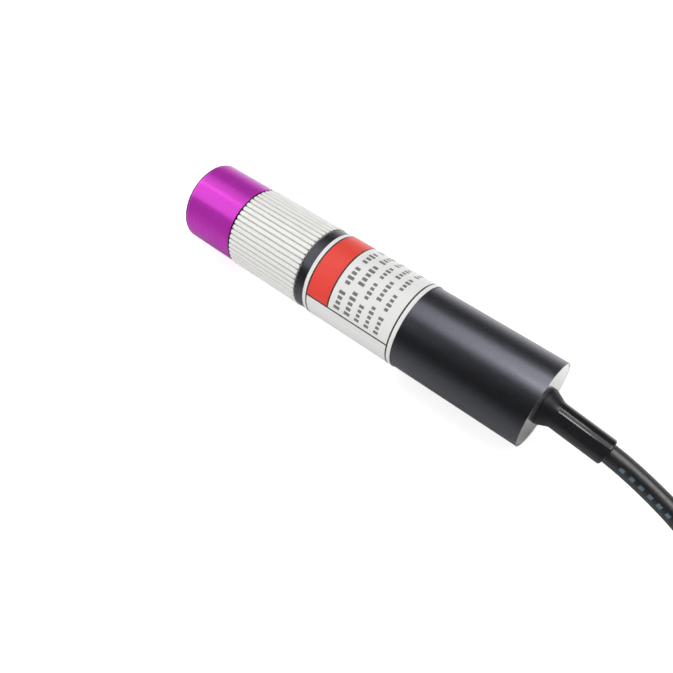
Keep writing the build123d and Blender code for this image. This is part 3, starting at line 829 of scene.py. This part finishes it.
def buildRelief(settings):
    # run along the cord from the rear face, radius and rounding; carried along the cord's own path
    bore, lip, neck, foot, rounds = chosen(settings, "bore", "lip", "neck", "foot", "rounds")
    back, front, length, lead = chosen(settings, "lipBack", "lipFront", "length", "leadPoints")
    tip, root, coneEnd, footThick = chosen(settings, "tip", "root", "coneEnd", "footThick")
    corners = [
        (back, bore, rounds["bore"]), (length, bore, rounds["mouth"]), (length, tip, rounds["tip"]),
        (coneEnd, root, rounds["root"]), (footThick, foot, rounds["foot"]), (0.0, foot, rounds["face"]),
        (0.0, neck, rounds["neck"]), (front, neck, rounds["neck"]),
        (front, lip, rounds["lip"]), (back, lip, rounds["lip"]),
    ]
    outline = roundedOutline(corners, steps=8) * mm
    run = outline[:, 0] + np.interp(rearX, cordLine[:lead, 0], cordRun[:lead])
    centre, side, up = [alongCord(run, values) for values in (cordLine, cordSide, cordUp)]
    # at the rear face the sleeve sits square on the cap and on its hole's centre
    square = (1 - eased(outline[:, 0], 0, settings["squareRun"] * mm))[:, None]
    seat = np.stack([rearX + outline[:, 0], 0 * run + axisY, 0 * run + axisZ], -1)
    centre = centre + square * (seat - centre)
    up = up + square * (np.array([0, 0, 1]) - up)
    side = side + square * (np.array([0, -1, 0]) - side)
    return gridPiece("strainRelief", carriedPoints(outline[:, 1], settings["columns"], centre, side, up))


tieSettings = {
    "width": 5.0,
    "thick": 0.4,
    "clear": 0.01,
    "edgeRound": 0.14,
    "middle": 96.0,
    "rows": 96,
    "nearStrands": [(-7.0, 2.15), (-3.5, 2.15), (-3.5, 5.65), (-7.0, 5.65)],
    "farStrands": [(21.0, 2.15), (17.5, 2.15), (21.0, 5.65)],
}


def buildTie(name, settings, strands):
    # in each direction round the bundle, the band lies on the strand that reaches furthest that way
    half, thick, clear = settings["width"] / 2, settings["thick"], settings["clear"]
    corners = [(-half, clear), (half, clear), (half, thick), (-half, thick)]
    section = roundedOutline(corners, settings["edgeRound"], steps=3, guard=0.02)
    angle = np.linspace(0, 2 * math.pi, settings["rows"], endpoint=False)
    outwards = np.stack([np.cos(angle), np.sin(angle)], -1)
    strands = np.array(strands)
    furthest = strands[np.argmax(outwards @ strands.T, axis=1)]
    reach = cordSettings["diameter"] / 2 + section[:, 1]
    around = furthest[:, None] + reach[None, :, None] * outwards[:, None]
    along = settings["middle"] + section[:, 0][None, :, None] + 0 * around[..., :1]
    return gridPiece(name, np.concatenate([along, around], -1) * mm)


plugSettings = {
    "columns": 72,
    "bore": 0.9,
    "reliefTip": 2.5,
    "reliefRoot": 3.5,
    "reliefLength": 8.0,
    "grooves": (6.0, 4.0, 2.0),
    "grooveWidth": 0.8,
    "grooveDepth": 0.5,
    "grip": 4.75,
    "gripLength": 16.0,
    "waistDepth": 0.5,
    "waistLength": 8.0,
    "waistRamp": 0.8,
    "rounds": {"bore": 0.05, "grip": 0.9, "waist": 1.0, "tip": 0.3, "rib": 0.15},
    "sleeve": 2.75,
    "sleeveBore": 2.35,
    "sleeveLength": 9.5,
    "sleeveRounds": (0.03, 0.12, 0.2, 0.03),
}


def buildPlug(settings):
    # the grip's section, turned about the plug's axis: ribbed relief, rounded ends and a waist
    grip, gripLength, bore, rounds = chosen(settings, "grip", "gripLength", "bore", "rounds")
    tip, root, length = chosen(settings, "reliefTip", "reliefRoot", "reliefLength")
    ramp, depth, half = settings["waistRamp"], settings["grooveDepth"], settings["grooveWidth"] / 2
    end = length + gripLength
    waist = grip - settings["waistDepth"]
    waistStart = length + (gripLength - settings["waistLength"]) / 2
    waistEnd = waistStart + settings["waistLength"]
    taper = (root - tip) / length
    corners = [
        (0, bore, rounds["bore"]), (end, bore, rounds["bore"]), (end, grip, rounds["grip"]),
        (waistEnd, grip, rounds["waist"]), (waistEnd - ramp, waist, rounds["waist"]),
        (waistStart + ramp, waist, rounds["waist"]), (waistStart, grip, rounds["waist"]),
        (length, grip, rounds["grip"]), (length, root, rounds["tip"]),
    ]
    for middle in settings["grooves"]:
        outer = tip + taper * middle
        rib = [(middle + half, outer + taper * half), (middle + half, outer - depth),
               (middle - half, outer - depth), (middle - half, outer - taper * half)]
        corners += [(*corner, rounds["rib"]) for corner in rib]
    corners.append((0, tip, rounds["tip"]))
    outline = roundedOutline(corners, steps=4, guard=0.03) * mm + (plugLow.x, 0)
    return gridPiece("plugGrip", turnedPoints(outline, settings["columns"], centre=plugCentre))


def buildSleeve(settings):
    # a tube with a rolled mouth
    length, inner, outer = chosen(settings, "sleeveLength", "sleeveBore", "sleeve")
    corners = [(0, inner), (length, inner), (length, outer), (0, outer)]
    outline = roundedOutline(corners, settings["sleeveRounds"], steps=4, guard=0.03) * mm + (plugHigh.x, 0)
    return gridPiece("plugSleeve", turnedPoints(outline, settings["columns"], centre=plugCentre))


nosePiece = buildNose(noseSettings)
ringPiece = buildRing(ringSettings)
barrelPiece = buildBarrel(barrelSettings)
labelPiece = buildLabel(labelSettings)
capPiece = buildCap(capSettings)
springPiece = buildSpring(springSettings)
print("turned body and spring made")
reliefPiece = buildRelief(reliefSettings)
nearTie = buildTie("nearTie", tieSettings, tieSettings["nearStrands"])
farTie = buildTie("farTie", tieSettings, tieSettings["farStrands"])
plugPiece = buildPlug(plugSettings)
sleevePiece = buildSleeve(plugSettings)
print("sleeve, ties and plug made")


# finishes: lengths in millimetres, and noise scales a millimetre

violetSettings = {
    "deep": (0.58, 0.034, 0.525),
    "light": (0.67, 0.046, 0.61),
    # painted shadow: near-black over the back chamfer and the groove, where shade falls
    "paintedGrooveShadow": (0.008, 0.006, 0.008),
    "grooveMargin": 0.01,
    # painted shade along the front edge's chamfer
    "paintedRimShade": (0.19, 0.009, 0.18),
    "rimWidth": 0.42,
    "rimDepth": 0.35,
    # painted highlight line just behind the dark front edge
    "paintedRimHighlight": (0.78, 0.075, 0.72),
    "paintedRimHighlightWidth": 0.30,
    "metallic": 0.42,
    "roughness": 0.25,
    "glossSpread": 0.12,
    "coat": 0.18,
    "coatRoughness": 0.14,
    "gloss": 0.32,
    "edgeTint": (0.42, 0.46, 0.41),
    "lines": 9.0,
    "lineShare": 0.6,
    "lineBump": 0.0006,
    "lineStrength": 0.6,
    "cloud": 0.35,
}


def violetAnodised(settings):
    # turning lines on the side and rings on the face, a painted shade along the front edge with a painted
    # highlight line behind it, and a painted shadow over the back chamfer and the groove
    material, wire, shader = newFinish("violetAnodised", {
        "Metallic": settings["metallic"],
        "Coat Weight": settings["coat"],
        "Coat Roughness": settings["coatRoughness"],
        "Specular IOR Level": settings["gloss"],
        "Specular Tint": (*settings["edgeTint"], 1),
    })
    point = placeInside(wire)
    x, radius = fromAxis(point)
    lines = marksOn(wire, x + radius, settings["lines"])
    cloud = noiseOn(wire, point, settings["cloud"])
    skin = shared(lines, cloud, settings["lineShare"]).mixed(settings["deep"], settings["light"])
    outside = barrelRadius / mm
    edge = radius > outside - settings["rimDepth"]
    rimEnd = frontX / mm + settings["rimWidth"]
    # a painted highlight line behind the front edge, then painted shade on the edge itself
    withPaintedHighlight = (edge * (x < rimEnd + settings["paintedRimHighlightWidth"])).mixed(skin, settings["paintedRimHighlight"])
    withPaintedRimShade = (edge * (x < rimEnd)).mixed(withPaintedHighlight, settings["paintedRimShade"])
    # painted shadow over the back chamfer and the groove
    grooveFront = frontX / mm + noseSettings["back"] - noseSettings["backChamfer"]
    groove = (x > grooveFront) * (radius < outside - settings["grooveMargin"])
    groove.mixed(withPaintedRimShade, settings["paintedGrooveShadow"]).feeds(shader, "Base Color")
    varied(settings["roughness"], lines, settings["glossSpread"]).feeds(shader, "Roughness")
    bumped(wire, lines, settings["lineBump"], settings["lineStrength"]).feeds(shader, "Normal")
    return material


blackSettings = {
    "deep": (0.086, 0.090, 0.108),
    "light": (0.156, 0.158, 0.180),
    "bare": (0.72, 0.72, 0.70),
    "bareDepth": 0.03,
    "bareGloss": 0.15,
    "blackEdge": 0.12,
    "roughness": 0.33,
    "glossSpread": 0.14,
    "grain": 4.5,
    "grainShare": 0.65,
    "grainBump": 0.010,
    "streak": 2.6,
    "streakStretch": (0.5, 1.0, 1.0),
}


def blackAnodised(settings):
    # a fine grain and longer streaks; the rear face is turned bare inside a black edge
    material, wire, shader = newFinish("blackAnodised", {"Metallic": 1.0})
    point = placeInside(wire)
    x, radius = fromAxis(point)
    grain = noiseOn(wire, point, settings["grain"], detail=3.0)
    streak = noiseOn(wire, point, settings["streak"], detail=4.0, stretch=settings["streakStretch"])
    skin = shared(grain, streak, settings["grainShare"]).mixed(settings["deep"], settings["light"])
    faced = (x > rearX / mm - settings["bareDepth"]) * (radius < barrelRadius / mm - settings["blackEdge"])
    faced.mixed(skin, settings["bare"]).feeds(shader, "Base Color")
    gloss = varied(settings["roughness"], streak, settings["glossSpread"])
    (gloss - faced * settings["bareGloss"]).feeds(shader, "Roughness")
    bumped(wire, grain, settings["grainBump"]).feeds(shader, "Normal")
    return material


knurlSettings = {
    "deep": (0.90, 0.89, 0.865),
    "light": (0.97, 0.965, 0.945),
    # painted shade: the grooves' colour, darker where shade falls between the teeth
    "groove": (0.56, 0.55, 0.52),
    # painted shadow and painted reflection of the dark gaps at the ring's ends
    "grooveEnd": (0.03, 0.03, 0.035),
    "crestMargin": 0.03,
    "frontReach": 0.35,
    "rearReach": 0.7,
    "rearMargin": 0.1,
    "faceMargin": 0.02,
    "metallic": 0.12,
    "roughness": 0.48,
    "glossSpread": 0.2,
    "grain": 9.0,
    "grainStretch": (0.3, 1.0, 1.0),
    "grainBump": 0.004,
}


def brightKnurl(settings):
    # the cutter leaves fine marks along the teeth, the grooves are painted darker than the crests as painted
    # shade, and their ends are painted near-black as a painted shadow and painted reflection of the dark gaps
    # beside the ring
    material, wire, shader = newFinish("brightKnurl", {"Metallic": settings["metallic"]})
    point = placeInside(wire)
    x, radius = fromAxis(point)
    crest, front, rear = ringRadius / mm, ringLow.x / mm, ringHigh.x / mm
    height = radius.ramp(crest - ringSettings["grooveDepth"], crest - settings["crestMargin"])
    grain = noiseOn(wire, point, settings["grain"], detail=3.0, stretch=settings["grainStretch"])
    tone = grain.mixed(settings["deep"], settings["light"])
    # painted shadow and painted reflection at the grooves' ends, next to the dark gaps beside the ring
    toFront = x.ramp(front + settings["frontReach"], front)
    toRear = x.ramp(rear - settings["rearReach"], rear - settings["rearMargin"])
    paintedEndShade = either(toFront, toRear) * (x < rear - settings["faceMargin"])
    groove = paintedEndShade.mixed(settings["groove"], settings["grooveEnd"])
    # painted shade: the deeper in a groove, the nearer to the groove's colour
    height.mixed(groove, tone).feeds(shader, "Base Color")
    varied(settings["roughness"], grain, settings["glossSpread"]).feeds(shader, "Roughness")
    bumped(wire, grain, settings["grainBump"]).feeds(shader, "Normal")
    return material


printSettings = {
    "margin": 0.9,
    "ruleWidth": 0.30,
    "fieldEnd": 5.8,
    "panelTurn": 33.0,
    # middle, half height, reach and word length of each row of blocks, and the pitch of its blocks
    "rows": [(7.7, 0.50, 17.9, 5.0, 1.0), (10.0, 0.50, 21.0, 6.0, 1.0), (12.2, 0.38, 23.3, 4.5, 0.9),
             (14.3, 0.38, 25.2, 5.4, 0.9), (16.4, 0.38, 22.6, 4.5, 0.9)],
    "rowStart": 0.8,
    "blockShare": 0.62,    # of the pitch
    "tallEvery": 3,
    "tallExtra": 0.3,      # of the half height
    "blockInk": 0.8,
    "paper": (0.86, 0.86, 0.845),
    "paperFade": 0.97,
    "ink": (0.022, 0.022, 0.026),
    "field": (0.90, 0.060, 0.042),
    "fieldFade": 0.9,
    "coat": 0.1,
    "coatRoughness": 0.3,
    "roughness": 0.42,
    "glossSpread": 0.15,
    "inkGloss": 0.08,
    "fibre": 3.0,
    "fibreBump": 0.004,
    "fibreStrength": 0.4,
}


def labelFilm(settings):
    # printed rules, one plain field and rows of plain bars, on the label's own chart in millimetres
    fixed = {"Coat Weight": settings["coat"], "Coat Roughness": settings["coatRoughness"]}
    material, wire, shader = newFinish("labelFilm", fixed)
    turnLength, length = labelSettings["turnLength"], (labelHigh.x - labelLow.x) / mm
    chart = wire.node("UVMap", {"uv_map": "chart"}).split()
    turn, along = [part * turnLength for part in chart[:2]]
    margin, half, fieldEnd = settings["margin"], settings["ruleWidth"] / 2, settings["fieldEnd"]
    panel = turn < settings["panelTurn"]
    inside = (along > margin) * (along < length - margin)
    rules = either(
        band(along, margin, half), band(along, length - margin, half), band(along, fieldEnd, half) * panel,
        band((turn + half) % turnLength, half, half) * inside,
        band(turn, settings["panelTurn"], half) * inside)
    bars = []
    for middle, blockHalf, reach, wordLength, pitch in settings["rows"]:
        place = turn - settings["rowStart"]
        block = (place % pitch < pitch * settings["blockShare"]) * (place % wordLength < wordLength - pitch)
        tall = place % (pitch * settings["tallEvery"]) < pitch
        height = blockHalf + tall * blockHalf * settings["tallExtra"]
        bars.append(band(along, middle, height) * (place > 0) * (turn < reach) * block)
    field = (along > margin) * (along < fieldEnd) * panel
    fibre = noiseOn(wire, placeInside(wire), settings["fibre"], detail=4.0)
    paper = fibre.mixed(faded(settings["paper"], settings["paperFade"]), settings["paper"])
    dye = fibre.mixed(settings["field"], faded(settings["field"], settings["fieldFade"]))
    ink = either(rules, either(*bars) * settings["blockInk"])
    ink.mixed(field.mixed(paper, dye), settings["ink"]).feeds(shader, "Base Color")
    gloss = varied(settings["roughness"], fibre, settings["glossSpread"])
    (gloss - ink * settings["inkGloss"]).feeds(shader, "Roughness")
    bumped(wire, fibre, settings["fibreBump"], settings["fibreStrength"]).feeds(shader, "Normal")
    return material


faceSettings = {
    "deep": (0.57, 0.57, 0.55),
    "light": (0.71, 0.71, 0.69),
    "metallic": 0.85,
    "roughness": 0.17,
    "glossSpread": 0.2,
    "rings": 7.0,
    "ringBump": 0.002,
}


def bareAluminium(settings):
    # facing marks run in rings about the axis
    material, wire, shader = newFinish("bareAluminium", {"Metallic": settings["metallic"]})
    radius = fromAxis(placeInside(wire))[1]
    rings = marksOn(wire, radius, settings["rings"])
    rings.mixed(settings["deep"], settings["light"]).feeds(shader, "Base Color")
    varied(settings["roughness"], rings, settings["glossSpread"]).feeds(shader, "Roughness")
    bumped(wire, rings, settings["ringBump"]).feeds(shader, "Normal")
    return material


grainSettings = {
    "broadScale": 0.12,    # of the grain's
    "fineShare": 0.5,
    "glossSpread": 0.18,
}


def grained(name, fixed, deep, light, roughness, grain, bump):
    # a fine grain changes the shade and the height, and a broad one the shade and the gloss
    material, wire, shader = newFinish(name, fixed)
    point = placeInside(wire)
    fine = noiseOn(wire, point, grain, detail=3.0)
    broad = noiseOn(wire, point, grain * grainSettings["broadScale"])
    shared(fine, broad, grainSettings["fineShare"]).mixed(deep, light).feeds(shader, "Base Color")
    bumped(wire, fine, bump).feeds(shader, "Normal")
    return material, shader, point, varied(roughness, broad, grainSettings["glossSpread"])


def grainFinish(name, deep, light, roughness, grain, bump, metallic=0.0):
    material, shader, _, gloss = grained(name, {"Metallic": metallic}, deep, light, roughness, grain, bump)
    gloss.feeds(shader, "Roughness")
    return material


sleeveSettings = {
    "deep": (0.010, 0.010, 0.012),
    "light": (0.015, 0.015, 0.018),
    "roughness": 0.10,
    "gloss": 0.25,
    "skin": 0.5,
    "skinRoughness": 0.10,
    "footRun": (3.6, 1.8),   # from the rear face, where the foot's dull finish begins and where it is full
    "footDull": 0.28,
    "grain": 5.0,
    "grainBump": 0.0008,
}


def blackSleeve(settings):
    # the tube has a glossy skin, and the foot has none
    fixed = {"Specular IOR Level": settings["gloss"], "Coat Roughness": settings["skinRoughness"]}
    look = chosen(settings, "deep", "light", "roughness", "grain", "grainBump")
    material, shader, point, gloss = grained("blackSleeve", fixed, *look)
    foot = point.split()[0].ramp(*[rearX / mm + run for run in settings["footRun"]])
    (gloss + foot * settings["footDull"]).feeds(shader, "Roughness")
    ((1 - foot) * settings["skin"]).feeds(shader, "Coat Weight")
    return material


turnedSettings = {
    "glossSpread": 0.16,
    "lineBump": 0.0006,
}


def turnedFinish(name, deep, light, roughness, lines):
    # turning lines along the axis
    material, wire, shader = newFinish(name, {"Metallic": 1.0})
    marks = marksOn(wire, placeInside(wire).split()[0], lines)
    marks.mixed(deep, light).feeds(shader, "Base Color")
    varied(roughness, marks, turnedSettings["glossSpread"]).feeds(shader, "Roughness")
    bumped(wire, marks, turnedSettings["lineBump"]).feeds(shader, "Normal")
    return material


jacketSettings = {
    "deep": (0.006, 0.006, 0.007),
    "light": (0.011, 0.011, 0.012),
    "fineShare": 0.5,
    "mark": (0.12, 0.20, 0.26),
    "markInk": 0.8,
    "markTurn": 0.075,     # share of a turn up from the near side
    "markHalf": 0.032,
    "markPitch": 1.9,
    "markLength": 0.9,
    "groupStart": 20.5,
    "groupPitch": 26.0,
    "groupLength": 11.0,
    "wear": (0.38, 0.5),   # of the grain, where a mark is worn off and where it is whole
    "gloss": 0.9,
    "roughness": 0.40,
    "glossSpread": 0.2,
    "grain": 14.0,
    "grainBump": 0.012,
    "grainStrength": 0.35,
    "broad": 0.8,
}


def cordJacket(settings):
    # rows of plain dashes printed along the jacket, on the cord's own chart
    material, wire, shader = newFinish("cordJacket", {"Specular IOR Level": settings["gloss"]})
    turn, metres = wire.node("UVMap", {"uv_map": "chart"}).split()[:2]
    run = metres / mm
    point = placeInside(wire)
    fine = noiseOn(wire, point, settings["grain"], detail=3.0)
    broad = noiseOn(wire, point, settings["broad"])
    line = band(turn, settings["markTurn"], settings["markHalf"])
    dash = (run % settings["markPitch"] < settings["markLength"]) * line
    dash = dash * ((run - settings["groupStart"]) % settings["groupPitch"] < settings["groupLength"])
    worn = fine.ramp(*settings["wear"])
    jacket = shared(fine, broad, settings["fineShare"]).mixed(settings["deep"], settings["light"])
    (dash * worn * settings["markInk"]).mixed(jacket, settings["mark"]).feeds(shader, "Base Color")
    varied(settings["roughness"], broad, settings["glossSpread"]).feeds(shader, "Roughness")
    bumped(wire, fine, settings["grainBump"], settings["grainStrength"]).feeds(shader, "Normal")
    return material


glassSettings = {
    "shade": (0.97, 0.99, 0.985),
    "bend": 1.52,
    "roughness": 0.01,
    "cloud": 0.6,
    "cloudGloss": 0.03,
}


def clearGlass(settings):
    # polished glass with a faint coating that varies in gloss
    fixed = {"Transmission Weight": 1.0, "IOR": settings["bend"], "Base Color": (*settings["shade"], 1)}
    material, wire, shader = newFinish("opticalGlass", fixed)
    cloud = noiseOn(wire, placeInside(wire), settings["cloud"])
    (settings["roughness"] + cloud * settings["cloudGloss"]).feeds(shader, "Roughness")
    return material


boardSettings = {
    "deep": (0.010, 0.105, 0.045),
    "light": (0.022, 0.185, 0.075),
    "coat": 0.3,
    "coatRoughness": 0.2,
    "weave": 9.0,
    "weaveShare": 0.4,
    "weaveBump": 0.01,
    "weaveStrength": 0.3,
    "cloud": 0.9,
    "roughness": 0.36,
    "cloudGloss": 0.12,
}


def boardLaminate(settings):
    # solder mask over woven glass: the weave shows as a fine square grid
    fixed = {"Coat Weight": settings["coat"], "Coat Roughness": settings["coatRoughness"]}
    material, wire, shader = newFinish("boardLaminate", fixed)
    point = placeInside(wire)
    warp, weft = [(part * settings["weave"]).maths("SINE") for part in point.split()[:2]]
    weave = warp * weft * 0.5 + 0.5
    cloud = noiseOn(wire, point, settings["cloud"])
    tone = shared(weave, cloud, settings["weaveShare"])
    tone.mixed(settings["deep"], settings["light"]).feeds(shader, "Base Color")
    (settings["roughness"] + cloud * settings["cloudGloss"]).feeds(shader, "Roughness")
    bumped(wire, weave, settings["weaveBump"], settings["weaveStrength"]).feeds(shader, "Normal")
    return material


# name, darker and lighter shade, roughness, grain, height of the grain, and metallic share where there is one
grainFinishes = {
    "tie_plastic": ("tiePlastic", (0.012, 0.012, 0.013), (0.024, 0.024, 0.026), 0.38, 6.0, 0.010),
    "plug_moulding": ("plugMoulding", (0.014, 0.014, 0.015), (0.026, 0.026, 0.028), 0.46, 8.0, 0.014),
    "plug_insulation": ("plugInsulation", (0.02, 0.02, 0.02), (0.04, 0.04, 0.04), 0.5, 6.0, 0.01),
    "spring_steel": ("springSteel", (0.40, 0.40, 0.41), (0.56, 0.56, 0.57), 0.30, 8.0, 0.003, 1.0),
    "gold_plate": ("goldPlate", (0.82, 0.58, 0.20), (0.94, 0.70, 0.30), 0.24, 6.0, 0.002, 1.0),
    "black_epoxy": ("blackEpoxy", (0.012, 0.012, 0.013), (0.026, 0.026, 0.027), 0.55, 9.0, 0.012),
    "trimmer_body": ("trimmerBody", (0.05, 0.16, 0.42), (0.07, 0.21, 0.50), 0.42, 7.0, 0.008),
    "ferrite": ("ferrite", (0.035, 0.034, 0.033), (0.070, 0.068, 0.066), 0.62, 7.0, 0.02),
    "capacitor_body": ("capacitorBody", (0.62, 0.36, 0.06), (0.74, 0.46, 0.10), 0.44, 6.0, 0.008),
    "red_insulation": ("redInsulation", (0.52, 0.020, 0.016), (0.64, 0.032, 0.024), 0.42, 7.0, 0.008),
    "black_insulation": ("blackInsulation", (0.012, 0.012, 0.012), (0.024, 0.024, 0.024), 0.44, 7.0, 0.008),
}

# name, darker and lighter shade, roughness and turning lines
turnedFinishes = {
    "nickel_plate": ("nickelPlate", (0.60, 0.58, 0.54), (0.76, 0.74, 0.70), 0.22, 6.0),
    "turned_brass": ("turnedBrass", (0.64, 0.42, 0.15), (0.82, 0.58, 0.25), 0.28, 7.0),
}

finishes = {
    "violet_anodised": violetAnodised(violetSettings),
    "black_anodised": blackAnodised(blackSettings),
    "bright_aluminium": brightKnurl(knurlSettings),
    "label_film": labelFilm(printSettings),
    "bare_aluminium": bareAluminium(faceSettings),
    "black_sleeve": blackSleeve(sleeveSettings),
    "cord_jacket": cordJacket(jacketSettings),
    "optical_glass": clearGlass(glassSettings),
    "board_laminate": boardLaminate(boardSettings),
}
finishes.update({slotName: grainFinish(*look) for slotName, look in grainFinishes.items()})
finishes.update({slotName: turnedFinish(*look) for slotName, look in turnedFinishes.items()})
print("finishes made", len(finishes))

dress(nosePiece, "violet_anodised", "focus_head", "nose_cap")
dress(ringPiece, "bright_aluminium", "focus_head", "focus_ring")
dress(barrelPiece, "black_anodised", "body", "barrel")
dress(labelPiece, "label_film", "body", "label")
dress(capPiece, "bare_aluminium", "body", "rear_cap")
dress(reliefPiece, "black_sleeve", "body", "strain_relief")
dress(cordPiece, "cord_jacket", "body", "cord_lead", "cord_hank", "cord_tail")
dress(nearTie, "tie_plastic", "body", "hank_ties")
dress(farTie, "tie_plastic", "body", "hank_ties")
dress(plugPiece, "plug_moulding", "body", "plug_body")
dress(sleevePiece, "nickel_plate", "body", "plug_barrel")

# the spring is tied to no body, and its placement is baked into its points
dress(springPiece, "spring_steel", None, "focus_spring")
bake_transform(springPiece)

# the inner pieces keep their solids and take the finish that their slot in model.glb names
kept = [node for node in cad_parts.values() if not node.hide_render]
for node in kept:
    slotName = node.material_slots[0].material.name.split(".")[0]
    print("finish", node.name, slotName)
    node.material_slots[0].material = finishes[slotName]

bpy.context.view_layer.update()
